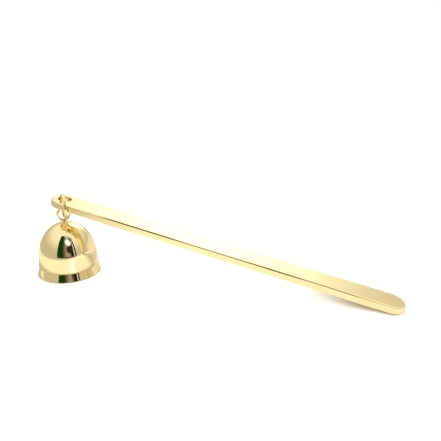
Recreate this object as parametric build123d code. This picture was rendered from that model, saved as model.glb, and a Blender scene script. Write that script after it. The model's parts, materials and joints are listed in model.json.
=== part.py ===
from build123d import *
from math import acos, asin, atan2, cos, degrees, hypot, radians, sin
import os

# Candle snuffer: a bell hung by a jump ring from the end of a long flat handle.
# Millimetres, +Z up. The origin is the centre of the bell's mouth, which stands
# on the table, and +X runs along the handle, from the bell towards the grip.

# Bell: a spun cup with a straight lip, a crease, and a straight skirt that runs
# into a dome of two radii. The flares are how much the radius grows downwards.
mouth_dia = 30.0
lip_height = 4.25
lip_flare = 1.08
skirt_flare = 0.54
dome_centre_height = 9.0
dome_rise = 15.8
crown_share = 1.05
bell_wall = 0.9
rim_break = 0.2

# Loop on the crown, with the neck and foot that carry it and the shank that is
# riveted over a washer inside. It is turned to a bearing round the bell's axis.
loop_wire_dia = 1.3
loop_centre_dia = 5.48
loop_over_crown = 0.62
loop_facing = 35.7
neck_dia = 1.9
foot_dia = 3.6
foot_height = 0.45
foot_break = 0.2
shank_dia = 1.8
shank_clearance = 0.03
head_dia = 3.2
head_height = 0.8
washer_dia = 5.2
washer_thickness = 0.6

# Handle: a flat bar with round ends and rounded edges. The hole is concentric
# with the end over the bell, and the other end rests on the table.
bar_length = 162.6
bar_width = 12.0
bar_thickness = 3.5
bar_edge_round = 0.45
hole_dia = 6.0
hole_break = 0.2

# Jump ring: one strand goes down through the hole and one down in front of the
# bar, and the ring's lower part goes through the loop, over the loop's centre.
ring_wire_dia = 1.2
ring_facing = 48.5
ring_in_front_of_bar = 0.5
ring_hole_clearance = 0.21
strand_bearing_in_hole = 157.4
ring_loop_clearance = 0.8
strand_bearing_in_loop = 13.1
loop_bearing_on_ring = 39.8
ring_below_bar_middle = 0.9
ring_cut_gap = 0.12
ring_cut_bearing = 172.0

# One overrun for all cuts, and the quarter turn up to the crown.
overrun = 1.0
quarter_turn = 90.0

# Sizes that follow.
mouth_radius = mouth_dia / 2
crease_radius = mouth_radius - lip_flare
dome_radius = crease_radius - skirt_flare
crown_radius = crown_share * dome_radius**2 / dome_rise
side_radius = (dome_radius**2 + dome_rise**2 - 2 * dome_rise * crown_radius) / (
    2 * (dome_radius - crown_radius)
)
bell_height = dome_centre_height + dome_rise
crown_centre_height = bell_height - crown_radius
loop_wire_radius = loop_wire_dia / 2
loop_radius = loop_centre_dia / 2
loop_centre_height = bell_height + loop_over_crown + loop_wire_radius + loop_radius
ring_wire_radius = ring_wire_dia / 2
hole_radius = hole_dia / 2
end_radius = bar_width / 2
half_thickness = bar_thickness / 2


def crown_joins_side():
    """Angle on the dome's section where its side arc meets the crown arc."""
    step = side_radius - crown_radius
    up = (crown_centre_height - dome_centre_height) / step
    out = (side_radius - dome_radius) / step
    return degrees(atan2(up, out))


def skirt_meets_side(inset):
    """Angle on the side arc where the straight skirt runs into it."""
    out = crease_radius + side_radius - dome_radius - inset
    up = lip_height - dome_centre_height
    return degrees(atan2(up, out) + acos((side_radius - inset) / hypot(out, up)))


def dome_height_at(radius, inset):
    """Height of the crown at a radius, on a surface set in by the inset."""
    bow = crown_radius - inset
    return crown_centre_height + bow * cos(asin(radius / bow))


def bell_form(inset):
    """The bell's outer form as a full solid, or the hollow inside it."""
    mouth = (mouth_radius - inset, 0)
    crease = (crease_radius - inset, lip_height)
    skirt_end = skirt_meets_side(inset)
    side_end = crown_joins_side()
    side = CenterArc(
        (dome_radius - side_radius, dome_centre_height),
        side_radius - inset,
        skirt_end,
        side_end - skirt_end,
    )
    crown = CenterArc(
        (0, crown_centre_height),
        crown_radius - inset,
        side_end,
        quarter_turn - side_end,
    )
    flank = Polyline((0, 0), mouth, crease, side @ 0)
    axis = Line(crown @ 1, (0, 0))
    section = make_face([*flank.edges(), *side.edges(), *crown.edges(), *axis.edges()])
    return revolve(Plane.XZ * section, Axis.Z)


def upward(radius, height, base):
    """Round post of a radius and height that stands on a base height."""
    post = Cylinder(radius, height, align=(Align.CENTER, Align.CENTER, Align.MIN))
    return Pos(0, 0, base) * post


def bell_cup():
    """Spun cup with a broken rim and the shank's hole in its crown."""
    cup = bell_form(0) - bell_form(bell_wall)
    rim = cup.edges().group_by(Axis.Z)[0]
    cup = chamfer(rim, rim_break)
    hole_from = bell_height - bell_wall - overrun
    hole = upward(shank_radius_in_crown(), bell_wall + 2 * overrun, hole_from)
    return cup - hole


def shank_radius_in_crown():
    """Radius of the holes that the shank goes through."""
    return shank_dia / 2 + shank_clearance


def washer_base():
    """Height of the underside of the washer, whose edge meets the dome."""
    return dome_height_at(washer_dia / 2, bell_wall) - washer_thickness


def washer():
    """Flat washer that spreads the rivet's pull inside the crown."""
    disc = upward(washer_dia / 2, washer_thickness, washer_base())
    hole_from = washer_base() - overrun
    hole = upward(shank_radius_in_crown(), washer_thickness + 2 * overrun, hole_from)
    return disc - hole


def bell_foot():
    """Round foot that sits on the crown, cut to the dome's curve below."""
    base = dome_height_at(foot_dia / 2, 0)
    foot = upward(foot_dia / 2, bell_height + foot_height - base, base)
    top = foot.edges().group_by(Axis.Z)[-1]
    return chamfer(top, foot_break) - bell_form(0)


def rivet_head():
    """Domed head of the riveted shank, under the washer."""
    bow = ((head_dia / 2) ** 2 + head_height**2) / (2 * head_height)
    ball = Pos(0, 0, washer_base() - head_height + bow) * Sphere(bow)
    return ball - upward(bow + overrun, 2 * bow + overrun, washer_base())


def upright(centre, bearing):
    """Plane that stands upright through a point, with its X at a bearing."""
    turn = radians(bearing)
    return Plane(origin=centre, x_dir=(cos(turn), sin(turn), 0), z_dir=(sin(turn), -cos(turn), 0))


def bell_loop():
    """Loop, neck, foot, shank and riveted head, all one piece."""
    centre = (0, 0, loop_centre_height)
    loop = upright(centre, loop_facing) * Torus(loop_radius, loop_wire_radius)
    neck = upward(neck_dia / 2, loop_centre_height - loop_radius - bell_height, bell_height)
    shank = upward(shank_dia / 2, bell_height - washer_base(), washer_base())
    return loop + (bell_foot() + neck + shank) + rivet_head()


def strand_in_hole():
    """Where the ring's rear strand passes the hole, along and across the bar."""
    reach = hole_radius - ring_wire_radius - ring_hole_clearance
    bearing = radians(strand_bearing_in_hole)
    return reach * cos(bearing), reach * sin(bearing)


def ring_radius():
    """Centre-line radius that spans from the hole to in front of the bar."""
    behind = strand_in_hole()[1]
    span = behind + end_radius + ring_in_front_of_bar + ring_wire_radius
    return span / (2 * sin(radians(ring_facing)))


def ring_centre():
    """Centre of the ring, from the point where its wire crosses the loop."""
    over = loop_radius - loop_wire_radius - ring_wire_radius - ring_loop_clearance
    tilt = radians(strand_bearing_in_loop)
    face = radians(loop_facing)
    turn = radians(-ring_facing)
    lift = radians(loop_bearing_on_ring)
    side = over * sin(tilt)
    reach = ring_radius() * sin(lift)
    return (
        reach * cos(turn) - side * cos(face),
        reach * sin(turn) - side * sin(face),
        loop_centre_height + over * cos(tilt) + ring_radius() * cos(lift),
    )


def bar_pitch():
    """Slope of the bar, with its middle over the ring and its tip on the table."""
    rise = ring_centre()[2] + ring_below_bar_middle - bar_edge_round
    run = bar_length - end_radius - bar_edge_round
    drop = half_thickness - bar_edge_round
    return asin(rise / hypot(run, drop)) - atan2(drop, run)


def hole_centre():
    """Middle of the hole, set so that the ring's rear strand passes it."""
    x, y, z = ring_centre()
    turn = radians(-ring_facing)
    along, across = strand_in_hole()
    pitch = bar_pitch()
    back = (along - ring_below_bar_middle * sin(pitch)) / cos(pitch)
    return (
        x - ring_radius() * cos(turn) - back,
        y - ring_radius() * sin(turn) - across,
        z + ring_below_bar_middle,
    )


def handle_bar():
    """Flat bar with round ends, rounded edges and the ring's hole."""
    bar = extrude(SlotOverall(bar_length, bar_width), half_thickness, both=True)
    bar = Pos(bar_length / 2 - end_radius, 0, 0) * bar
    bar = fillet(bar.faces().filter_by(Axis.Z).edges(), bar_edge_round)
    bar = bar - Cylinder(hole_radius, bar_thickness + 2 * overrun)
    rings = [edge for edge in bar.edges().filter_by(GeomType.CIRCLE) if edge.is_closed]
    bar = chamfer(rings, hole_break)
    return Pos(*hole_centre()) * Rot(0, degrees(bar_pitch()), 0) * bar


def jump_ring():
    """Round wire ring with the narrow gap where its ends butt."""
    gap = degrees(ring_cut_gap / ring_radius())
    wire = Torus(ring_radius(), ring_wire_radius, major_angle=360 - gap)
    return upright(ring_centre(), -ring_facing) * Rot(0, 0, ring_cut_bearing + gap / 2) * wire


def main():
    """Write one file for each piece."""
    os.makedirs("parts", exist_ok=True)
    pieces = {
        "handle_bar": handle_bar(),
        "jump_ring": jump_ring(),
        "bell_cup": bell_cup(),
        "bell_loop": bell_loop(),
        "loop_washer": washer(),
    }
    for name, piece in pieces.items():
        export_step(piece, f"parts/{name}.step")


main()
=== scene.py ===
import json
from math import acos, asin, atan, atan2, cos, hypot, pi, radians, sin, tan

import bmesh
import bpy
from bpy.props import (
    FloatProperty,
    FloatVectorProperty,
    IntProperty,
    PointerProperty,
)
from mathutils import Matrix, Vector


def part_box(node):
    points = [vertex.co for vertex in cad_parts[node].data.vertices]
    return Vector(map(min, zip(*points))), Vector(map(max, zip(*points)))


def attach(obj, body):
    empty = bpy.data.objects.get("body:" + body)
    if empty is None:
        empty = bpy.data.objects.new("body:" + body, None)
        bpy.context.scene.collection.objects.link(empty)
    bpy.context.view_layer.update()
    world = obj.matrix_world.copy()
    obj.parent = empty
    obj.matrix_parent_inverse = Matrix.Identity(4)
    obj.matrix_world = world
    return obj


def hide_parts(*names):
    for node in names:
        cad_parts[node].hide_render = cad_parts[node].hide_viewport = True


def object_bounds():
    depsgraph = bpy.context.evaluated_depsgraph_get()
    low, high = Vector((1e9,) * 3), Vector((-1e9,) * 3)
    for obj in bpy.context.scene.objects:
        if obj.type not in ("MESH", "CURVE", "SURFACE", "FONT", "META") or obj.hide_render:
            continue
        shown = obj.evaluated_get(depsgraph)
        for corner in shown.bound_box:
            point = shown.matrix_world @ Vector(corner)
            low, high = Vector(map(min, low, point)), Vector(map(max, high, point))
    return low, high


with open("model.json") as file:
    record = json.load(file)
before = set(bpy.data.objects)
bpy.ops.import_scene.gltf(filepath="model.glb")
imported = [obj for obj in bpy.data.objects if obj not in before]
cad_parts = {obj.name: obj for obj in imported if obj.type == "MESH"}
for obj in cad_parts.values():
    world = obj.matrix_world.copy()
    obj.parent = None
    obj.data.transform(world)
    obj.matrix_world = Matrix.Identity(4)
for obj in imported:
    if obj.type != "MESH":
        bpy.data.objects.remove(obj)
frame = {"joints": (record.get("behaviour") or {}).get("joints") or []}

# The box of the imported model, before anything is added to it.
cad_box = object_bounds()

bl_info = {
    "name": "Candle snuffer",
    "version": (1, 0, 0),
    "blender": (4, 5, 0),
    "location": "View3D > Sidebar > Snuffer",
    "description": "Polished candle snuffer: a bell hung by a jump ring from a flat handle",
    "category": "Add Mesh",
}

MM = 0.001
JOINTS = {joint["name"]: joint for joint in frame["joints"]}

# A point of a turned section with a smaller radius than this is on the axis.
ON_AXIS = MM / 1000

# Rounds in which the handle's pitch settles to the last digit.
PITCH_ROUNDS = 20

# The neck's top is hidden in the loop's wire, and has this share of its width.
NECK_TOP_SHARE = 0.8

# Values of the drift noise at which the metal has its first and second colour.
DRIFT_FROM = 0.3
DRIFT_TO = 0.75

# Values of grain times smear at which the metal is cleanest and dullest.
DULL_FROM = 0.12
DULL_TO = 0.42

# The share of its reach in which each soft band or patch has its full strength.
SIDE_CORE = 1 / 2
SHEEN_CORE = 1 / 3
BACK_CORE = 0.0
TIP_CORE = 1 / 3
PATCH_CORE = 0.7

# The way from the object to the lamp, in sides of the lamp.
LAMP_WAY = Vector((0, -0.9, 1.15))

# The camera's sensor in millimetres, and the nearest place that it sees.
SENSOR_WIDTH = 36.0
NEAREST_SEEN = 1 * MM

WHITE = (1.0, 1.0, 1.0)


# Sizes and colours that a user would change.


def length(name, description, millimetres):
    """A length setting that is given in millimetres and kept in metres."""
    return FloatProperty(
        name=name,
        description=description,
        default=millimetres * MM,
        min=0,
        precision=5,
        subtype="DISTANCE",
        unit="LENGTH",
    )


def turn(name, description, degrees):
    """An angle setting that is given in degrees and kept in radians."""
    return FloatProperty(
        name=name,
        description=description,
        default=radians(degrees),
        subtype="ANGLE",
        unit="ROTATION",
    )


def share(name, description, default):
    """A plain number setting, such as a share or a brightness."""
    return FloatProperty(name=name, description=description, default=default, min=0)


def count(name, description, default):
    """A whole number setting of steps round or along a form."""
    return IntProperty(name=name, description=description, default=default, min=3)


def colour(name, description, default):
    """A colour setting."""
    return FloatVectorProperty(
        name=name,
        description=description,
        default=default,
        size=3,
        min=0,
        max=1,
        subtype="COLOR",
    )


class HandleSettings(bpy.types.PropertyGroup):
    """Sizes of the flat handle."""

    thickness: length("Thickness", "Thickness of the flat bar", 3.5)
    edge_round: length("Edge round", "Radius on the bar's edges as it was made", 0.45)
    edge_worn: length("Worn edge", "Radius on the same edges after polishing", 0.7)
    hole_diameter: length("Hole", "Diameter of the hole for the jump ring", 6.0)
    hole_round: length("Hole edge", "Radius on the edge of the hole", 0.2)
    end_steps: count("End steps", "Steps round each half-round end", 96)
    hole_steps: count("Hole steps", "Steps round the hole", 96)
    edge_steps: count("Edge steps", "Steps over each rounded edge", 8)


class RingSettings(bpy.types.PropertyGroup):
    """Sizes of the jump ring."""

    wire_diameter: length("Wire", "Diameter of the ring's wire", 1.2)
    cut_gap: length("Cut", "Width of the gap where the wire's ends butt", 0.12)
    cut_bearing: turn("Cut bearing", "Where the cut is, round the ring", 172.0)
    ring_steps: count("Ring steps", "Steps round the ring", 160)
    wire_steps: count("Wire steps", "Steps round the wire", 40)
    sharp_from: turn("Sharp from", "Turn from which an edge of the ring is sharp", 50.0)


class BellSettings(bpy.types.PropertyGroup):
    """Sizes of the spun bell and of the washer inside its crown."""

    mouth_diameter: length("Mouth", "Outer diameter of the bell's mouth", 30.0)
    lip_height: length("Lip height", "Height of the straight lip", 4.25)
    lip_flare: length("Lip flare", "How much the lip widens downwards", 1.08)
    skirt_flare: length("Skirt flare", "How much the skirt widens downwards", 0.54)
    dome_centre_height: length("Dome base", "Height of the centre of the dome's side arc", 9.0)
    dome_rise: length("Dome rise", "Height of the crown over the dome's base", 15.8)
    crown_share: share("Crown share", "Crown radius as a share of what one arc would have", 1.05)
    wall: length("Wall", "Thickness of the spun sheet", 0.9)
    rim_round: length("Rim round", "Radius on the edges of the rim", 0.22)
    crease_depth: length("Crease depth", "Depth of the groove between skirt and lip", 0.42)
    crease_width: length("Crease width", "Height of the groove between skirt and lip", 0.22)
    crease_round: length("Crease round", "Radius on the groove's edges", 0.1)
    profile_step: length("Profile step", "Longest step along the bell's section", 0.3)
    spin_steps: count("Spin steps", "Steps round the bell", 176)
    washer_diameter: length("Washer", "Diameter of the washer inside the crown", 5.2)
    washer_thickness: length("Washer thickness", "Thickness of the washer", 0.6)
    washer_round: length("Washer edge", "Radius on the washer's edges", 0.06)
    washer_edge_steps: count("Washer edge steps", "Steps over each edge of the washer", 3)
    sharp_from: turn("Sharp from", "Turn from which an edge of the washer is sharp", 40.0)


class LoopSettings(bpy.types.PropertyGroup):
    """Sizes of the loop, its neck, foot, shank and riveted head."""

    wire_diameter: length("Wire", "Diameter of the loop's wire", 1.3)
    centre_diameter: length("Loop", "Diameter of the loop's centre line", 5.48)
    neck_diameter: length("Neck", "Diameter of the neck under the loop", 1.9)
    neck_round: length("Neck round", "Radius between neck and foot", 0.3)
    foot_diameter: length("Foot", "Diameter of the foot on the crown", 3.6)
    foot_height: length("Foot height", "Height of the foot over the crown", 0.45)
    foot_round: length("Foot round", "Radius on the foot's edge", 0.2)
    shank_diameter: length("Shank", "Diameter of the shank through the crown", 1.8)
    shank_clearance: length("Shank clearance", "Gap between shank and crown", 0.03)
    head_diameter: length("Head", "Diameter of the riveted head", 3.2)
    head_height: length("Head height", "Height of the riveted head", 0.8)
    ring_steps: count("Loop steps", "Steps round the loop", 128)
    wire_steps: count("Wire steps", "Steps round the wire", 40)
    post_steps: count("Post steps", "Steps round the neck, foot, shank and head", 64)
    foot_steps: count("Foot steps", "Steps over the foot's underside", 5)
    head_steps: count("Head steps", "Steps over the riveted head", 10)
    sharp_from: turn("Sharp from", "Turn from which an edge of the loop is sharp", 38.0)


class FinishSettings(bpy.types.PropertyGroup):
    """The polished gold-coloured finish."""

    brass: colour("Brass", "Colour of the polished metal", (0.91, 0.79, 0.46))
    deep_brass: colour("Deep brass", "Colour where the plating is warmer", (0.90, 0.75, 0.40))
    gloss: share("Gloss", "Roughness of the cleanest polish", 0.035)
    haze: share("Haze", "Roughness where handling has dulled it", 0.1)
    drift_size: length("Drift size", "Width of the slow changes of colour", 9.0)
    smear_size: length("Smear size", "Width of the marks that handling leaves", 3.0)
    line_width: length("Line width", "Width of the polishing lines", 0.06)
    line_length: length("Line length", "Length of the polishing lines", 3.0)
    line_depth: length("Line depth", "Depth of the polishing lines", 0.0012)
    wave_size: length("Wave size", "Width of the slow waves in the polish", 4.0)
    wave_depth: length("Wave depth", "Depth of the slow waves in the polish", 0.004)


class StageSettings(bpy.types.PropertyGroup):
    """Camera, table, tent and the opening in front of the object."""

    camera_place: FloatVectorProperty(
        name="Camera place",
        description="Where the camera stands",
        default=(127.07 * MM, -194.07 * MM, 105.71 * MM),
        subtype="TRANSLATION",
        unit="LENGTH",
    )
    camera_dip: turn("Camera dip", "How far the camera looks down", 19.99)
    camera_heading: turn("Camera heading", "How far the camera is turned left", 14.84)
    camera_lens: share("Lens", "Focal length in millimetres on a 36 mm sensor", 40.82)
    table_size: length("Table", "Side of the square table", 3000.0)
    table_colour: colour("Table colour", "Colour of the pale table", (0.86, 0.83, 0.78))
    table_white: share("Table white", "Light added to the table as the camera sees it", 0.85)
    # Painted shade: less light is added round the handle's tip, which paints its shadow deeper
    # there.
    tip_white: share("Tip white", "The same light where the handle's tip rests", 0.1)
    tip_reach: length("Tip reach", "Distance from the tip over which it is less", 52.0)
    # Painted glow on the table, seen only in reflections, which dims to the walls' level far away.
    table_glow: share("Table glow", "Light added in reflections near the object", 0.02)
    glow_from: length("Glow from", "Distance at which the table starts to dim", 48.0)
    glow_to: length("Glow to", "Distance at which the table is as dim as the walls", 115.0)
    # Painted shade round the bell, seen only in reflections.
    shade_to: length("Shade to", "Radius round the bell in which the table is dim", 27.0)
    shade_blend: length("Shade blend", "Width over which that dimness ends", 8.0)
    # Painted reflection: a glowing strip on the table before the bell, seen only in reflections.
    sheen_level: share("Sheen", "Light added in the bright strip before the bell", 0.9)
    sheen_bearing: turn("Sheen bearing", "Bearing of the strip from the bell", -48.0)
    sheen_spread: turn("Sheen spread", "Half width of the strip, as seen from the bell", 9.0)
    sheen_end: length("Sheen end", "Radius round the bell at which the strip ends", 56.0)
    tent_tint: colour("Tent tint", "Colour of the tent's cloth", (1.0, 0.93, 0.84))
    wall_level: share("Walls", "Brightness of the tent's walls, low down", 0.66)
    wall_top: turn("Wall top", "Height angle up to which they keep it", 8.0)
    roof_level: share("Roof", "Brightness of the tent overhead", 1.14)
    roof_foot: turn("Roof foot", "Height angle from which it is as bright as that", 50.0)
    fill_share: share("Fill", "Share of the tent's light that reaches matt surfaces", 0.38)
    lamp_power: share("Lamp", "Power of the soft lamp over the front, in watts", 5.0)
    lamp_size: length("Lamp size", "Side of the soft lamp", 420.0)
    side_level: share("Side", "Extra brightness low down on the grip's side", 0.34)
    side_bearing: turn("Side bearing", "Bearing of the middle of that brightness", 58.0)
    side_spread: turn("Side spread", "Half width of that brightness", 38.0)
    side_full: turn("Side full", "Height angle up to which it has its full strength", 4.0)
    side_top: turn("Side top", "Height angle at which it ends", 14.0)
    back_level: share("Back", "Extra brightness of the panel behind the object", 1.3)
    back_bearing: turn("Back bearing", "Bearing of the middle of the back panel", 97.0)
    back_spread: turn("Back spread", "Half width of the back panel", 26.0)
    back_foot: turn("Back foot", "Height angle at which the back panel starts", 4.0)
    back_full: turn("Back full", "Height angle at which it has its full strength", 16.0)
    back_fade: turn("Back fade", "Height angle at which it starts to fade", 36.0)
    back_top: turn("Back top", "Height angle at which it ends", 60.0)
    opening_distance: length("Opening distance", "From the bell to the tent's opening", 115.0)
    opening_left: length("Opening left", "How far the opening reaches left of the bell", 50.0)
    opening_right: length("Opening right", "How far it reaches right of the bell", 132.0)
    opening_foot: length("Opening foot", "Height of the opening's foot over the table", 5.0)
    opening_height: length("Opening height", "Height of the opening's top over the table", 262.0)
    # Colours of the painted reflections in the opening.
    mirrored_green: colour("Mirrored green", "Left band in the opening", (0.004, 0.055, 0.004))
    mirrored_mauve: colour("Mirrored mauve", "Band beside the green one", (0.17, 0.10, 0.09))
    mirrored_grey: colour("Mirrored grey", "Band in the middle", (0.42, 0.36, 0.36))
    mirrored_dark: colour("Mirrored dark", "Bands on the right", (0.008, 0.006, 0.006))
    mirrored_stripe: colour("Mirrored stripe", "Stripe between those", (0.75, 0.72, 0.72))


# Small tools that the pieces share.


def add_node(tree, kind, inputs=None, **settings):
    """Add a node, set it up, and fill its inputs with values or with links."""
    made = tree.nodes.new(kind)
    for name, value in settings.items():
        setattr(made, name, value)
    for key, value in (inputs or {}).items():
        if isinstance(value, bpy.types.NodeSocket):
            tree.links.new(value, made.inputs[key])
        else:
            made.inputs[key].default_value = value
    return made


def calculate(tree, operation, *values):
    """Output of a Math node on up to three values or sockets."""
    inputs = dict(enumerate(values))
    return add_node(tree, "ShaderNodeMath", inputs, operation=operation).outputs[0]


def ramp(tree, value, start, end, low, high, shape="SMOOTHSTEP"):
    """Output of a step from low at start to high at end, smooth or linear."""
    inputs = {"Value": value, "From Min": start, "From Max": end, "To Min": low, "To Max": high}
    made = add_node(tree, "ShaderNodeMapRange", inputs, interpolation_type=shape)
    return made.outputs[0]


def tone_ramp(tree, value, zones):
    """Output of a colour ramp, from pairs of a position and a colour."""
    made = add_node(tree, "ShaderNodeValToRGB", {"Fac": value})
    stops = made.color_ramp.elements
    for position, _ in zones[1:-1]:
        stops.new(position)
    for stop, (position, tone) in zip(stops, zones):
        stop.position = position
        stop.color = (*tone, 1)
    return made.outputs[0]


def noise(tree, place, size, detail):
    """Output of a noise whose features are about as wide as a size."""
    inputs = {"Vector": place, "Scale": 1 / size, "Detail": detail}
    return add_node(tree, "ShaderNodeTexNoise", inputs).outputs[0]


def flat_distance(tree, x, y):
    """Length of the line with the two given parts."""
    squared = calculate(tree, "MULTIPLY_ADD", x, x, calculate(tree, "MULTIPLY", y, y))
    return calculate(tree, "SQRT", squared)


def soft_band(tree, bearing, middle, spread, core, level):
    """Strength of a light round a bearing: full in its core, none past a spread."""
    off = calculate(tree, "ABSOLUTE", calculate(tree, "SUBTRACT", bearing, middle))
    return ramp(tree, off, spread, spread * core, 0.0, level)


def even_light(tree, tone, strength, kind="ShaderNodeEmission"):
    """Output of an emission or background of one colour."""
    return add_node(tree, kind, {"Color": (*tone, 1), "Strength": strength}).outputs[0]


def mix(tree, part, first, second):
    """Output of a mix of two shaders, with the given part of the second."""
    return add_node(tree, "ShaderNodeMixShader", {0: part, 1: first, 2: second}).outputs[0]


def new_material(name):
    """Material with an empty node tree."""
    material = bpy.data.materials.new(name)
    material.use_nodes = True
    material.node_tree.nodes.clear()
    return material


def finished_mesh(form, name):
    """Smooth mesh of a bmesh form, which is freed."""
    mesh = bpy.data.meshes.new(name)
    form.to_mesh(mesh)
    form.free()
    mesh.shade_smooth()
    return mesh


def new_piece(name, mesh, material):
    """Object for a finished mesh, at the origin, with one material."""
    mesh.materials.clear()
    mesh.materials.append(material)
    piece = bpy.data.objects.new(name, mesh)
    bpy.context.scene.collection.objects.link(piece)
    return piece


def seat(piece, body, node):
    """Let a piece stand for its node, which is hidden, and ride on its body."""
    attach(piece, body)
    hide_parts(node)


def facing(centre, axis):
    """Matrix that lays a flat ring round a centre, square to a level axis."""
    normal = Vector(axis).normalized()
    upward = Vector((0, 0, 1))
    across = upward.cross(normal)
    turned = Matrix((across, upward, normal)).transposed().to_4x4()
    return Matrix.Translation(Vector(centre)) @ turned


# Sections and turned forms.


def arc_points(centre, radius, start, end, step):
    """Points on an arc from one angle to another, ends included."""
    pieces = max(1, round(abs(end - start) * radius / step))
    angles = [start + (end - start) * i / pieces for i in range(pieces + 1)]
    return [Vector((centre[0] + radius * cos(a), centre[1] + radius * sin(a))) for a in angles]


def line_points(start, end, step):
    """Evenly spaced points from start to end, both included."""
    pieces = max(1, round((end - start).length / step))
    return [start.lerp(end, i / pieces) for i in range(pieces + 1)]


def corner_points(before, corner, after, radius, steps=6):
    """Points of the arc that rounds a corner between two straight runs."""
    back = (before - corner).normalized()
    on = (after - corner).normalized()
    half = back.angle(on) / 2
    centre = corner + (back + on).normalized() * (radius / sin(half))
    start = corner + back * (radius / tan(half)) - centre
    end = corner + on * (radius / tan(half)) - centre
    return [centre + start.lerp(end, i / steps).normalized() * radius for i in range(steps + 1)]


def turned_mesh(name, section, steps, closed):
    """Mesh of a section of (radius, height) points turned round the upright axis.

    A closed section makes a hollow form. An open one starts and ends on the axis.
    """
    form = bmesh.new()
    rings = []
    for radius, height in section:
        if radius < ON_AXIS:
            rings.append([form.verts.new((0, 0, height))])
            continue
        angles = [2 * pi * i / steps for i in range(steps)]
        rings.append([form.verts.new((radius * cos(a), radius * sin(a), height)) for a in angles])
    pairs = list(zip(rings, rings[1:]))
    if closed:
        pairs.append((rings[-1], rings[0]))
    for upper, lower in pairs:
        for i in range(steps):
            j = (i + 1) % steps
            corners = []
            for ring, picks in ((upper, (i, j)), (lower, (j, i))):
                corners += [ring[0]] if len(ring) == 1 else [ring[k] for k in picks]
            form.faces.new(corners)
    bmesh.ops.recalc_face_normals(form, faces=form.faces)
    return finished_mesh(form, name)


class BellForm:
    """The bell's section, worked out from its settings."""

    def __init__(self, bell):
        self.bell = bell
        self.mouth_radius = bell.mouth_diameter / 2
        self.crease_radius = self.mouth_radius - bell.lip_flare
        self.dome_radius = self.crease_radius - bell.skirt_flare
        rise = bell.dome_rise
        self.crown_radius = bell.crown_share * self.dome_radius**2 / rise
        self.side_radius = (self.dome_radius**2 + rise**2 - 2 * rise * self.crown_radius) / (
            2 * (self.dome_radius - self.crown_radius)
        )
        self.height = bell.dome_centre_height + rise
        self.crown_centre = self.height - self.crown_radius

    def crown_joins_side(self):
        """Angle where the dome's side arc meets its crown arc."""
        step = self.side_radius - self.crown_radius
        up = (self.crown_centre - self.bell.dome_centre_height) / step
        out = (self.side_radius - self.dome_radius) / step
        return atan2(up, out)

    def skirt_meets_side(self, inset):
        """Angle on the side arc where the straight skirt runs into it."""
        out = self.crease_radius + self.side_radius - self.dome_radius - inset
        up = self.bell.lip_height - self.bell.dome_centre_height
        return atan2(up, out) + acos((self.side_radius - inset) / hypot(out, up))

    def height_at(self, radius, inset=0.0):
        """Height of the crown at a radius, on a surface set in by the inset."""
        bow = self.crown_radius - inset
        return self.crown_centre + bow * cos(asin(radius / bow))

    def washer_top(self):
        """Height at which the washer's edge meets the inside of the dome."""
        return self.height_at(self.bell.washer_diameter / 2, self.bell.wall)

    def washer_base(self):
        """Height of the washer's underside."""
        return self.washer_top() - self.bell.washer_thickness

    def surface(self, inset, hole_radius):
        """Points down one surface, from the hole in the crown to the mouth."""
        step = self.bell.profile_step
        crown = self.crown_radius - inset
        side = self.side_radius - inset
        joint = self.crown_joins_side()
        side_centre = (self.dome_radius - self.side_radius, self.bell.dome_centre_height)
        points = arc_points((0, self.crown_centre), crown, acos(hole_radius / crown), joint, step)
        points += arc_points(side_centre, side, joint, self.skirt_meets_side(inset), step)[1:]
        skirt_end = points[-1]
        crease = Vector((self.crease_radius - inset, self.bell.lip_height))
        groove = crease - Vector((self.bell.crease_depth, self.bell.crease_width))
        mouth = Vector((self.mouth_radius - inset, 0))
        ease = self.bell.crease_round
        over = corner_points(skirt_end, crease, groove, ease)
        under = corner_points(crease, groove, mouth, ease)
        points += line_points(skirt_end, over[0], step)[1:]
        points += over[1:] + under
        points += line_points(under[-1], mouth, step)[1:]
        return points

    def section(self, hole_radius):
        """Closed section of the bell's sheet, with a rounded rim."""
        outside = self.surface(0.0, hole_radius)
        inside = self.surface(self.bell.wall, hole_radius)
        rim_out, rim_in = outside.pop(), inside.pop()
        turn_under = corner_points(outside[-1], rim_out, rim_in, self.bell.rim_round)
        turn_up = corner_points(rim_out, rim_in, inside[-1], self.bell.rim_round)
        return outside + turn_under + turn_up + inside[::-1]


# The finish. Every piece has the same metal. Its polishing lines run along the
# handle, and round the bell's upright axis on the other pieces.


def along_bar(tree, place):
    """Coordinates whose X runs along the handle, for lines that follow it."""
    pitch = HandlePlace(bpy.context.scene.snuffer_handle).pitch
    turned = add_node(tree, "ShaderNodeMapping", {"Vector": place, "Rotation": (0, -pitch, 0)})
    return turned.outputs[0]


def round_axis(tree, place):
    """Coordinates whose X runs round the upright axis, as lines from a lathe do."""
    x, y, z = add_node(tree, "ShaderNodeSeparateXYZ", {"Vector": place}).outputs
    angle = calculate(tree, "ARCTAN2", y, x)
    flat = add_node(tree, "ShaderNodeCombineXYZ", {"X": x, "Y": y})
    reach = add_node(tree, "ShaderNodeVectorMath", {0: flat.outputs[0]}, operation="LENGTH")
    around = calculate(tree, "MULTIPLY", angle, bpy.context.scene.snuffer_bell.mouth_diameter / 2)
    turned = add_node(
        tree, "ShaderNodeCombineXYZ", {"X": around, "Y": reach.outputs["Value"], "Z": z}
    )
    return turned.outputs[0]


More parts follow.
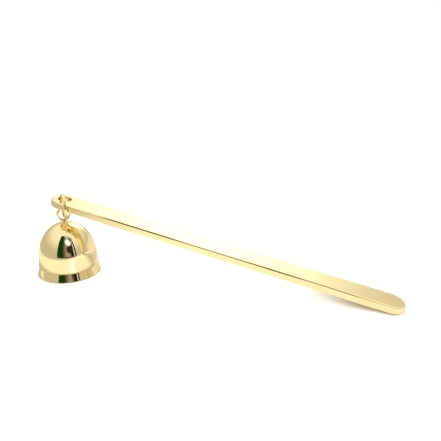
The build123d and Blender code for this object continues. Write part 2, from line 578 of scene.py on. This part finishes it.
def brass_material(name, lines):
    """Polished gold-coloured metal.

    The function lines makes coordinates whose X runs along the polishing lines.
    """
    finish = bpy.context.scene.snuffer_finish
    material = new_material(name)
    tree = material.node_tree
    place = add_node(tree, "ShaderNodeTexCoord").outputs["Object"]

    drift = noise(tree, place, finish.drift_size, detail=2.0)
    tones = ((DRIFT_FROM, finish.brass), (DRIFT_TO, finish.deep_brass))
    tint = tone_ramp(tree, drift, tones)

    grain_scale = (1 / finish.line_length, 1 / finish.line_width, 1 / finish.line_width)
    grain_place = add_node(
        tree, "ShaderNodeMapping", {"Vector": lines(tree, place), "Scale": grain_scale}
    ).outputs[0]
    grain = noise(tree, grain_place, size=1.0, detail=3.0)
    smear = noise(tree, place, finish.smear_size, detail=5.0)
    dulling = calculate(tree, "MULTIPLY", grain, smear)
    roughness = ramp(tree, dulling, DULL_FROM, DULL_TO, finish.gloss, finish.haze, "LINEAR")

    wave = noise(tree, place, finish.wave_size, detail=1.0)
    slow = {"Height": wave, "Distance": finish.wave_depth, "Strength": 1.0}
    slow_normal = add_node(tree, "ShaderNodeBump", slow).outputs[0]
    fine = {"Height": grain, "Distance": finish.line_depth, "Strength": 1.0, "Normal": slow_normal}
    normal = add_node(tree, "ShaderNodeBump", fine).outputs[0]
    metal = {"Base Color": tint, "Roughness": roughness, "Metallic": 1.0, "Normal": normal}
    surface = add_node(tree, "ShaderNodeBsdfPrincipled", metal).outputs[0]
    add_node(tree, "ShaderNodeOutputMaterial", {"Surface": surface})
    return material


# The handle.


class HandlePlace:
    """Where the bar lies, read from the box of its node.

    The box of a bar that slopes only along X gives its length, its slope and
    the place of the hole, which is concentric with the end over the bell.
    """

    def __init__(self, handle):
        low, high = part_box("handle_bar")
        extent = high - low
        self.end_radius = extent.y / 2
        edge = handle.edge_round
        reach = self.end_radius - edge
        half = handle.thickness / 2 - edge
        self.pitch = atan(extent.z / extent.x)
        for _ in range(PITCH_ROUNDS):
            level, steep = cos(self.pitch), sin(self.pitch)
            from_end = reach * level + half * steep + edge
            from_top = reach * steep + half * level + edge
            run = extent.x - 2 * from_end
            drop = extent.z - 2 * from_top
            self.pitch = atan2(drop, run)
        self.span = hypot(run, drop)
        self.hole = Vector((low.x + from_end, (low.y + high.y) / 2, high.z - from_top))

    def matrix(self):
        """Lays a level bar, with its hole at the origin, in its place."""
        return Matrix.Translation(self.hole) @ Matrix.Rotation(self.pitch, 4, "Y")


def bar_outline(span, steps):
    """Centre of the end and direction outwards of each point of the outline."""
    around = []
    for end, first in ((span, -pi / 2), (0.0, pi / 2)):
        for i in range(steps + 1):
            angle = first + pi * i / steps
            around.append((Vector((end, 0)), Vector((cos(angle), sin(angle)))))
    return around


def edge_rows(half, edge, steps):
    """Rows up a wall with rounded edges: set-in, height and normal of each."""
    rows = []
    for side in (-1, 1):
        for i in range(steps + 1):
            lean = pi / 2 * (i / steps if side > 0 else 1 - i / steps)
            set_in = edge * (1 - cos(lean))
            height = side * (half - edge * (1 - sin(lean)))
            rows.append((set_in, height, cos(lean), side * sin(lean)))
    return rows


def wall_rings(form, normals, outline, radius, rows, inward):
    """Rows of vertices up a wall, with the true normal of each noted."""
    rings = []
    sign = -1 if inward else 1
    for set_in, height, outwards, upwards in rows:
        ring = []
        for centre, out in outline:
            spot = centre + out * (radius - sign * set_in)
            ring.append(form.verts.new((spot.x, spot.y, height)))
            normals.append((sign * out.x * outwards, sign * out.y * outwards, upwards))
        rings.append(ring)
    for lower, upper in zip(rings, rings[1:]):
        for i in range(len(lower)):
            j = (i + 1) % len(lower)
            corners = [lower[i], lower[j], upper[j], upper[i]]
            form.faces.new(corners[::-1] if inward else corners)
    return rings


def handle_mesh(handle):
    """Flat bar with round ends, rounded edges and one hole, with exact normals."""
    place = HandlePlace(handle)
    half = handle.thickness / 2
    form = bmesh.new()
    normals = []
    outline = bar_outline(place.span, handle.end_steps)
    rows = edge_rows(half, handle.edge_worn, handle.edge_steps)
    outer = wall_rings(form, normals, outline, place.end_radius, rows, False)
    angles = [2 * pi * i / handle.hole_steps for i in range(handle.hole_steps)]
    hole_line = [(Vector((0, 0)), Vector((cos(a), sin(a)))) for a in angles]
    hole_rows = edge_rows(half, handle.hole_round, handle.edge_steps)
    inner = wall_rings(form, normals, hole_line, handle.hole_diameter / 2, hole_rows, True)
    for row, direction in ((0, -1), (-1, 1)):
        rim = []
        for ring in (outer[row], inner[row]):
            rim += [form.edges.get((ring[i - 1], ring[i])) for i in range(len(ring))]
        filled = bmesh.ops.triangle_fill(form, use_beauty=True, edges=rim, normal=(0, 0, direction))
        for part in filled["geom"]:
            if isinstance(part, bmesh.types.BMFace) and part.normal.z * direction < 0:
                part.normal_flip()
    mesh = finished_mesh(form, "handle")
    mesh.normals_split_custom_set_from_vertices(normals)
    mesh.transform(place.matrix())
    return mesh


class SNUFFER_OT_handle(bpy.types.Operator):
    """Make the flat handle, with its round ends and the ring's hole"""

    bl_idname = "snuffer.handle"
    bl_label = "Handle"

    def execute(self, context):
        """Build the bar in place of its node."""
        mesh = handle_mesh(context.scene.snuffer_handle)
        piece = new_piece("handle", mesh, brass_material("handle brass", along_bar))
        seat(piece, "handle", "handle_bar")
        return {"FINISHED"}


# Bent wire rings: the jump ring and the loop.


def wire_ring_tree():
    """Geometry nodes for a round wire bent to a ring, whole or with a cut."""
    tree = bpy.data.node_groups.new("Bent wire ring", "GeometryNodeTree")
    sockets = (
        ("Ring Radius", "NodeSocketFloat"),
        ("Wire Radius", "NodeSocketFloat"),
        ("Cut Start", "NodeSocketFloat"),
        ("Cut Width", "NodeSocketFloat"),
        ("Ring Steps", "NodeSocketInt"),
        ("Wire Steps", "NodeSocketInt"),
        ("Whole", "NodeSocketBool"),
        ("Material", "NodeSocketMaterial"),
    )
    for name, kind in sockets:
        tree.interface.new_socket(name, in_out="INPUT", socket_type=kind)
    tree.interface.new_socket("Geometry", in_out="OUTPUT", socket_type="NodeSocketGeometry")
    given = add_node(tree, "NodeGroupInput").outputs
    swept = calculate(tree, "SUBTRACT", 2 * pi, given["Cut Width"])
    bent = add_node(
        tree,
        "GeometryNodeCurveArc",
        {
            "Resolution": given["Ring Steps"],
            "Radius": given["Ring Radius"],
            "Start Angle": given["Cut Start"],
            "Sweep Angle": swept,
        },
    ).outputs["Curve"]
    whole = add_node(
        tree,
        "GeometryNodeCurvePrimitiveCircle",
        {"Resolution": given["Ring Steps"], "Radius": given["Ring Radius"]},
    ).outputs["Curve"]
    line = add_node(
        tree,
        "GeometryNodeSwitch",
        {"Switch": given["Whole"], "False": bent, "True": whole},
        input_type="GEOMETRY",
    ).outputs[0]
    wire = add_node(
        tree,
        "GeometryNodeCurvePrimitiveCircle",
        {"Resolution": given["Wire Steps"], "Radius": given["Wire Radius"]},
    ).outputs["Curve"]
    swept_mesh = add_node(
        tree, "GeometryNodeCurveToMesh", {"Curve": line, "Profile Curve": wire, "Fill Caps": True}
    ).outputs[0]
    smooth = add_node(tree, "GeometryNodeSetShadeSmooth", {"Geometry": swept_mesh}).outputs[0]
    real = add_node(tree, "GeometryNodeRealizeInstances", {"Geometry": smooth}).outputs[0]
    dressed = add_node(
        tree, "GeometryNodeSetMaterial", {"Geometry": real, "Material": given["Material"]}
    ).outputs[0]
    add_node(tree, "NodeGroupOutput", {"Geometry": dressed})
    return tree


def wire_ring_mesh(name, joint_name, radius, settings, material, cut):
    """Plain mesh of a wire bent to a ring round the axis of a joint."""
    values = {
        "Ring Radius": radius,
        "Wire Radius": settings.wire_diameter / 2,
        "Ring Steps": settings.ring_steps,
        "Wire Steps": settings.wire_steps,
        "Material": material,
        **cut,
    }
    tree = bpy.data.node_groups.get("Bent wire ring") or wire_ring_tree()
    holder = bpy.data.objects.new(name, bpy.data.meshes.new(name + " start"))
    bpy.context.scene.collection.objects.link(holder)
    nodes = holder.modifiers.new("Bent wire ring", "NODES")
    nodes.node_group = tree
    for item in tree.interface.items_tree:
        if item.name in values:
            nodes[item.identifier] = values[item.name]
    graph = bpy.context.evaluated_depsgraph_get()
    mesh = bpy.data.meshes.new_from_object(holder.evaluated_get(graph))
    holder.modifiers.remove(nodes)
    bpy.data.objects.remove(holder)
    mesh.name = name
    form = bmesh.new()
    form.from_mesh(mesh)
    bmesh.ops.recalc_face_normals(form, faces=form.faces)
    form.to_mesh(mesh)
    form.free()
    joint = JOINTS[joint_name]
    mesh.transform(facing(joint["pos_m"], joint["axis"]))
    return mesh


class SNUFFER_OT_jump_ring(bpy.types.Operator):
    """Make the jump ring that joins the handle and the bell's loop"""

    bl_idname = "snuffer.jump_ring"
    bl_label = "Jump Ring"

    def execute(self, context):
        """Bend the wire round the axis of the ring's joint."""
        ring = context.scene.snuffer_ring
        material = brass_material("ring brass", round_axis)
        low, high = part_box("jump_ring")
        radius = (high.z - low.z) / 2 - ring.wire_diameter / 2
        gap = ring.cut_gap / radius
        cut = {"Whole": False, "Cut Start": ring.cut_bearing + gap / 2, "Cut Width": gap}
        mesh = wire_ring_mesh("jump_ring_wire", "ring_turn", radius, ring, material, cut)
        mesh.set_sharp_from_angle(angle=ring.sharp_from)
        piece = new_piece("jump_ring_wire", mesh, material)
        seat(piece, "ring", "jump_ring")
        return {"FINISHED"}


# The bell, and the loop riveted through its crown.


def washer_section(form, hole_radius):
    """Closed section of the washer, with its edges rounded."""
    bell = form.bell
    top, base = form.washer_top(), form.washer_base()
    outer = bell.washer_diameter / 2
    corners = [(hole_radius, top), (outer, top), (outer, base), (hole_radius, base)]
    corners = [Vector(corner) for corner in corners]
    section = []
    for i, corner in enumerate(corners):
        before, after = corners[i - 1], corners[(i + 1) % len(corners)]
        section += corner_points(before, corner, after, bell.washer_round, bell.washer_edge_steps)
    return section


class SNUFFER_OT_bell(bpy.types.Operator):
    """Make the spun bell and the washer inside its crown"""

    bl_idname = "snuffer.bell"
    bl_label = "Bell"

    def execute(self, context):
        """Turn the cup and the washer in place of their nodes."""
        bell = context.scene.snuffer_bell
        loop = context.scene.snuffer_loop
        form = BellForm(bell)
        hole_radius = loop.shank_diameter / 2 + loop.shank_clearance
        mesh = turned_mesh("bell", form.section(hole_radius), bell.spin_steps, True)
        material = brass_material("bell brass", round_axis)
        seat(new_piece("bell", mesh, material), "bell", "bell_cup")

        mesh = turned_mesh("washer", washer_section(form, hole_radius), bell.spin_steps, True)
        mesh.set_sharp_from_angle(angle=bell.sharp_from)
        seat(new_piece("washer", mesh, material), "bell", "loop_washer")
        return {"FINISHED"}


def post_section(loop, form):
    """Section of neck, foot, shank and riveted head, from the top down."""
    washer_base = form.washer_base()
    neck = loop.neck_diameter / 2
    foot = loop.foot_diameter / 2
    shank = loop.shank_diameter / 2
    head = loop.head_diameter / 2
    loop_centre = JOINTS["bell_swing"]["pos_m"][2]
    neck_top = loop_centre - loop.centre_diameter / 2
    foot_top = form.height + loop.foot_height
    rows = [Vector((0, neck_top)), Vector((neck * NECK_TOP_SHARE, neck_top))]
    neck_side = Vector((neck, neck_top))
    neck_foot = Vector((neck, foot_top))
    foot_edge = Vector((foot, foot_top))
    foot_low = Vector((foot, form.height_at(foot)))
    rows += corner_points(neck_side, neck_foot, foot_edge, loop.neck_round)
    rows += corner_points(rows[-1], foot_edge, foot_low, loop.foot_round)
    for i in range(loop.foot_steps + 1):
        radius = foot + (shank - foot) * i / loop.foot_steps
        rows.append(Vector((radius, form.height_at(radius))))
    rows += [Vector((shank, washer_base)), Vector((head, washer_base))]
    bow = (head**2 + loop.head_height**2) / (2 * loop.head_height)
    centre = washer_base - loop.head_height + bow
    sweep = asin(head / bow)
    for i in range(1, loop.head_steps + 1):
        lean = sweep * (1 - i / loop.head_steps)
        rows.append(Vector((bow * sin(lean), centre - bow * cos(lean))))
    return rows


def join_solids(name, first, second):
    """One closed mesh from two closed meshes that run into each other."""
    base = bpy.data.objects.new(name, first)
    other = bpy.data.objects.new(name + " other", second)
    for part in (base, other):
        bpy.context.scene.collection.objects.link(part)
    union = base.modifiers.new("Union", "BOOLEAN")
    union.operation = "UNION"
    union.solver = "EXACT"
    union.object = other
    graph = bpy.context.evaluated_depsgraph_get()
    mesh = bpy.data.meshes.new_from_object(base.evaluated_get(graph))
    base.modifiers.remove(union)
    bpy.data.objects.remove(base)
    bpy.data.objects.remove(other)
    mesh.name = name
    mesh.shade_smooth()
    return mesh


class SNUFFER_OT_loop(bpy.types.Operator):
    """Make the loop on the bell's crown, with its neck, foot and riveted shank"""

    bl_idname = "snuffer.loop"
    bl_label = "Loop"

    def execute(self, context):
        """Join the bent loop to the turned post that carries it."""
        loop = context.scene.snuffer_loop
        form = BellForm(context.scene.snuffer_bell)
        material = brass_material("loop brass", round_axis)
        radius = loop.centre_diameter / 2
        ring = wire_ring_mesh("loop ring", "bell_swing", radius, loop, material, {"Whole": True})
        post = turned_mesh("loop post", post_section(loop, form), loop.post_steps, False)
        mesh = join_solids("loop", ring, post)
        mesh.set_sharp_from_angle(angle=loop.sharp_from)
        piece = new_piece("loop", mesh, material)
        seat(piece, "bell", "bell_loop")
        return {"FINISHED"}


# The stage: camera, table, tent and the opening that the metal reflects.


def side_share(tree, bearing, stage):
    """Share that a bearing has of the extra brightness on the grip's side."""
    return soft_band(tree, bearing, stage.side_bearing, stage.side_spread, SIDE_CORE, 1.0)


def table_material(stage):
    """Pale matt table that looks white to the camera.

    In reflections alone it has painted light and shade: a painted glow near the
    object, a painted sheen strip before the bell, and painted shade, as dim as the
    walls, close round the bell and far away.
    """
    material = new_material("pale table")
    tree = material.node_tree
    place = add_node(tree, "ShaderNodeTexCoord").outputs["Object"]
    x, y, _ = add_node(tree, "ShaderNodeSeparateXYZ", {"Vector": place}).outputs
    beside = calculate(tree, "MINIMUM", calculate(tree, "MAXIMUM", x, 0.0), cad_box[1].x)
    away = flat_distance(tree, calculate(tree, "SUBTRACT", x, beside), y)
    # Painted light and shade in reflections: the table glows near the object and dims to the walls'
    # level far away.
    far = ramp(tree, away, stage.glow_from, stage.glow_to, 0.0, 1.0)
    radius = add_node(tree, "ShaderNodeVectorMath", {0: place}, operation="LENGTH").outputs["Value"]
    # Painted shade: close round the bell the table is as dim as the walls in reflections.
    shade_end = stage.shade_to + stage.shade_blend
    shade = ramp(tree, radius, shade_end, stage.shade_to, 0.0, 1.0)
    dim = calculate(tree, "MAXIMUM", far, shade)

    bearing = calculate(tree, "ARCTAN2", y, x)
    # Painted reflection: a bright strip before the bell that glows only in reflections.
    strip = soft_band(
        tree, bearing, stage.sheen_bearing, stage.sheen_spread, SHEEN_CORE, stage.sheen_level
    )
    inside = ramp(tree, radius, stage.sheen_end + stage.shade_blend, stage.sheen_end, 0.0, 1.0)
    near = calculate(tree, "MULTIPLY_ADD", strip, inside, stage.table_glow)

    # Painted shade: round the handle's tip the camera sees less added light, which paints the tip's
    # shadow deeper.
    tip = (cad_box[1].x, 0, 0)
    from_tip = add_node(
        tree, "ShaderNodeVectorMath", {0: place, 1: tip}, operation="DISTANCE"
    ).outputs["Value"]
    white_from = stage.tip_reach * TIP_CORE
    white = ramp(tree, from_tip, white_from, stage.tip_reach, stage.tip_white, stage.table_white)

    path = add_node(tree, "ShaderNodeLightPath").outputs
    seen = calculate(tree, "MULTIPLY", path["Is Camera Ray"], white)
    # Painted glow, seen only in reflections.
    painted_reflection_glow = calculate(tree, "MULTIPLY", path["Is Glossy Ray"], near)
    glow = calculate(tree, "ADD", seen, painted_reflection_glow)
    matt = add_node(tree, "ShaderNodeBsdfDiffuse", {"Color": (*stage.table_colour, 1)}).outputs[0]
    light = even_light(tree, WHITE, glow)
    lit = add_node(tree, "ShaderNodeAddShader", {0: matt, 1: light}).outputs[0]

    side = side_share(tree, bearing, stage)
    level = calculate(tree, "MULTIPLY_ADD", side, stage.side_level, stage.wall_level)
    like_walls = even_light(tree, stage.tent_tint, level)
    # Where the painted shade falls, reflections see the table as dim as the walls.
    painted_shade_share = calculate(tree, "MULTIPLY", dim, path["Is Glossy Ray"])
    table = mix(tree, painted_shade_share, lit, like_walls)
    add_node(tree, "ShaderNodeOutputMaterial", {"Surface": table})
    return material


# Soft patches of painted reflection in the opening: a dark patch low down, a bright
# blue-white painted highlight, a paler blue patch above it and a dark line along the foot.
# Each has its middle and its reach, in shares of the opening's width and height, then
# its colour and its strength.
OPENING_PATCHES = (
    ((0.60, 0.22), (0.21, 0.14), (0.04, 0.03, 0.02), 1.0),
    ((0.54, 0.50), (0.22, 0.19), (0.60, 0.70, 1.00), 1.8),
    ((0.56, 0.84), (0.30, 0.11), (0.48, 0.62, 0.80), 1.1),
    ((0.50, 0.00), (0.90, 0.03), (0.10, 0.03, 0.02), 1.0),
)


def patch(tree, across, up, middle, reach):
    """Mask of a soft round patch, in shares of the opening."""
    aside = calculate(tree, "DIVIDE", calculate(tree, "SUBTRACT", across, middle[0]), reach[0])
    above = calculate(tree, "DIVIDE", calculate(tree, "SUBTRACT", up, middle[1]), reach[1])
    return ramp(tree, flat_distance(tree, aside, above), 1.0, PATCH_CORE, 0.0, 1.0)


def opening_material(stage):
    """Painted reflections that the metal mirrors: glowing bands and patches."""
    material = new_material("tent opening")
    tree = material.node_tree
    place = add_node(tree, "ShaderNodeTexCoord").outputs["UV"]
    across, up, _ = add_node(tree, "ShaderNodeSeparateXYZ", {"Vector": place}).outputs
    # Painted reflections in bands. Shares of the width, from left to right. Between two tones they
    # blend.
    bands = (
        (0.0, stage.mirrored_green),
        (0.25, stage.mirrored_green),
        (0.31, stage.mirrored_mauve),
        (0.44, stage.mirrored_grey),
        (0.58, stage.mirrored_grey),
        (0.64, stage.mirrored_dark),
        (0.79, stage.mirrored_dark),
        (0.82, stage.mirrored_stripe),
        (0.87, stage.mirrored_stripe),
        (0.90, stage.mirrored_dark),
        (1.0, stage.mirrored_dark),
    )
    banded = tone_ramp(tree, across, bands)
    shown = add_node(tree, "ShaderNodeEmission", {"Color": banded, "Strength": 1.0}).outputs[0]
    for middle, reach, tone, strength in OPENING_PATCHES:
        mask = patch(tree, across, up, middle, reach)
        shown = mix(tree, mask, shown, even_light(tree, tone, strength))
    add_node(tree, "ShaderNodeOutputMaterial", {"Surface": shown})
    return material


def flat_panel(name, corners, material):
    """Four-cornered panel with a UV map and one material."""
    mesh = bpy.data.meshes.new(name)
    mesh.from_pydata([tuple(corner) for corner in corners], [], [(0, 1, 2, 3)])
    layer = mesh.uv_layers.new(name="UVMap")
    for i, uv in enumerate(((0, 0), (1, 0), (1, 1), (0, 1))):
        layer.data[i].uv = uv
    panel = new_piece(name, mesh, material)
    return panel


def tent_world(stage):
    """Soft white tent with a bright roof and a bright panel at the back.

    Its walls are dim low down, and less so on the grip's side.
    """
    world = bpy.data.worlds.new("light tent")
    bpy.context.scene.world = world
    world.use_nodes = True
    tree = world.node_tree
    tree.nodes.clear()
    direction = add_node(tree, "ShaderNodeTexCoord").outputs["Generated"]
    x, y, z = add_node(tree, "ShaderNodeSeparateXYZ", {"Vector": direction}).outputs
    lift = calculate(tree, "ARCSINE", z)
    bearing = calculate(tree, "ARCTAN2", y, x)

    plain = ramp(tree, lift, stage.wall_top, stage.roof_foot, stage.wall_level, stage.roof_level)
    low = ramp(tree, lift, stage.side_top, stage.side_full, 0.0, stage.side_level)
    level = calculate(tree, "MULTIPLY_ADD", side_share(tree, bearing, stage), low, plain)

    back = soft_band(
        tree, bearing, stage.back_bearing, stage.back_spread, BACK_CORE, stage.back_level
    )
    over_foot = ramp(tree, lift, stage.back_foot, stage.back_full, 0.0, 1.0)
    under_top = ramp(tree, lift, stage.back_top, stage.back_fade, 0.0, 1.0)
    panel = calculate(tree, "MULTIPLY", back, calculate(tree, "MULTIPLY", over_foot, under_top))

    path = add_node(tree, "ShaderNodeLightPath").outputs
    matt_share = ramp(tree, path["Is Diffuse Ray"], 0.0, 1.0, 1.0, stage.fill_share)
    level = calculate(tree, "MULTIPLY", level, matt_share)
    panel = calculate(tree, "MULTIPLY", panel, matt_share)
    cloth = even_light(tree, stage.tent_tint, level, "ShaderNodeBackground")
    bright = even_light(tree, WHITE, panel, "ShaderNodeBackground")
    tent = add_node(tree, "ShaderNodeAddShader", {0: cloth, 1: bright}).outputs[0]
    plain_white = even_light(tree, WHITE, 1.0, "ShaderNodeBackground")
    shown = mix(tree, path["Is Camera Ray"], tent, plain_white)
    add_node(tree, "ShaderNodeOutputWorld", {"Surface": shown})


def make_lamp(stage):
    """Soft lamp over the front of the table, which gives the object its shadow."""
    data = bpy.data.lights.new("soft lamp", "AREA")
    data.size = stage.lamp_size
    data.energy = stage.lamp_power
    lamp = bpy.data.objects.new("soft lamp", data)
    middle = (cad_box[0] + cad_box[1]) / 2
    lamp.location = middle + stage.lamp_size * LAMP_WAY
    lamp.rotation_euler = (middle - lamp.location).to_track_quat("-Z", "Y").to_euler()
    lamp.visible_glossy = False
    bpy.context.scene.collection.objects.link(lamp)


def make_camera(stage):
    """Camera at the place from which the object is pictured."""
    data = bpy.data.cameras.new("camera")
    data.sensor_width = SENSOR_WIDTH
    data.lens = stage.camera_lens
    data.clip_start = NEAREST_SEEN
    camera = bpy.data.objects.new("camera", data)
    camera.location = stage.camera_place
    camera.rotation_euler = (pi / 2 - stage.camera_dip, 0, stage.camera_heading)
    bpy.context.scene.collection.objects.link(camera)
    bpy.context.scene.camera = camera


def make_table(stage):
    """Square table under the object."""
    half = stage.table_size / 2
    corners = ((-half, -half, 0), (half, -half, 0), (half, half, 0), (-half, half, 0))
    flat_panel("table", corners, table_material(stage))


def make_opening(stage):
    """Upright panel on the camera's side of the bell, for reflections alone."""
    heading = stage.camera_heading
    across = Vector((cos(heading), sin(heading), 0))
    towards = Vector((sin(heading), -cos(heading), 0)) * stage.opening_distance
    left = towards - across * stage.opening_left
    right = towards + across * stage.opening_right
    foot = Vector((0, 0, stage.opening_foot))
    top = Vector((0, 0, stage.opening_height))
    corners = (left + foot, right + foot, right + top, left + top)
    opening = flat_panel("tent_opening", corners, opening_material(stage))
    # The panel glows and paints reflections: the camera, matt surfaces and shadows don't see it.
    opening.visible_camera = False
    opening.visible_diffuse = False
    opening.visible_shadow = False


class SNUFFER_OT_stage(bpy.types.Operator):
    """Make the camera, the table, the tent and its opening"""

    bl_idname = "snuffer.stage"
    bl_label = "Stage"

    def execute(self, context):
        """Set the plain studio round the object."""
        stage = context.scene.snuffer_stage
        make_camera(stage)
        tent_world(stage)
        make_lamp(stage)
        make_table(stage)
        make_opening(stage)
        context.scene.view_settings.view_transform = "Standard"
        return {"FINISHED"}


class SNUFFER_PT_panel(bpy.types.Panel):
    """Settings and steps of the candle snuffer"""

    bl_idname = "SNUFFER_PT_panel"
    bl_label = "Candle Snuffer"
    bl_space_type = "VIEW_3D"
    bl_region_type = "UI"
    bl_category = "Snuffer"

    def draw(self, context):
        """List each step with its settings."""
        steps = (
            ("snuffer.handle", context.scene.snuffer_handle),
            ("snuffer.jump_ring", context.scene.snuffer_ring),
            ("snuffer.bell", context.scene.snuffer_bell),
            ("snuffer.loop", context.scene.snuffer_loop),
            ("snuffer.stage", context.scene.snuffer_stage),
            (None, context.scene.snuffer_finish),
        )
        for step, settings in steps:
            box = self.layout.box()
            if step:
                box.operator(step)
            for name in settings.__annotations__:
                box.prop(settings, name)


SETTINGS = {
    "snuffer_handle": HandleSettings,
    "snuffer_ring": RingSettings,
    "snuffer_bell": BellSettings,
    "snuffer_loop": LoopSettings,
    "snuffer_finish": FinishSettings,
    "snuffer_stage": StageSettings,
}
TOOLS = (
    SNUFFER_OT_handle,
    SNUFFER_OT_jump_ring,
    SNUFFER_OT_bell,
    SNUFFER_OT_loop,
    SNUFFER_OT_stage,
    SNUFFER_PT_panel,
)


def register():
    """Add the settings, the steps and the panel."""
    for name, group in SETTINGS.items():
        bpy.utils.register_class(group)
        setattr(bpy.types.Scene, name, PointerProperty(type=group))
    for tool in TOOLS:
        bpy.utils.register_class(tool)


def unregister():
    """Take them away again."""
    for tool in reversed(TOOLS):
        bpy.utils.unregister_class(tool)
    for name, group in reversed(SETTINGS.items()):
        delattr(bpy.types.Scene, name)
        bpy.utils.unregister_class(group)


def clear_start_scene():
    """Remove what a new file holds, and keep the frame."""
    for name in ("Cube", "Light", "Camera"):
        if name in bpy.data.objects:
            bpy.data.objects.remove(bpy.data.objects[name])


def main():
    """Make the whole snuffer and its stage."""
    clear_start_scene()
    register()
    bpy.ops.snuffer.handle()
    bpy.ops.snuffer.jump_ring()
    bpy.ops.snuffer.bell()
    bpy.ops.snuffer.loop()
    bpy.ops.snuffer.stage()


if __name__ == "__main__":
    main()
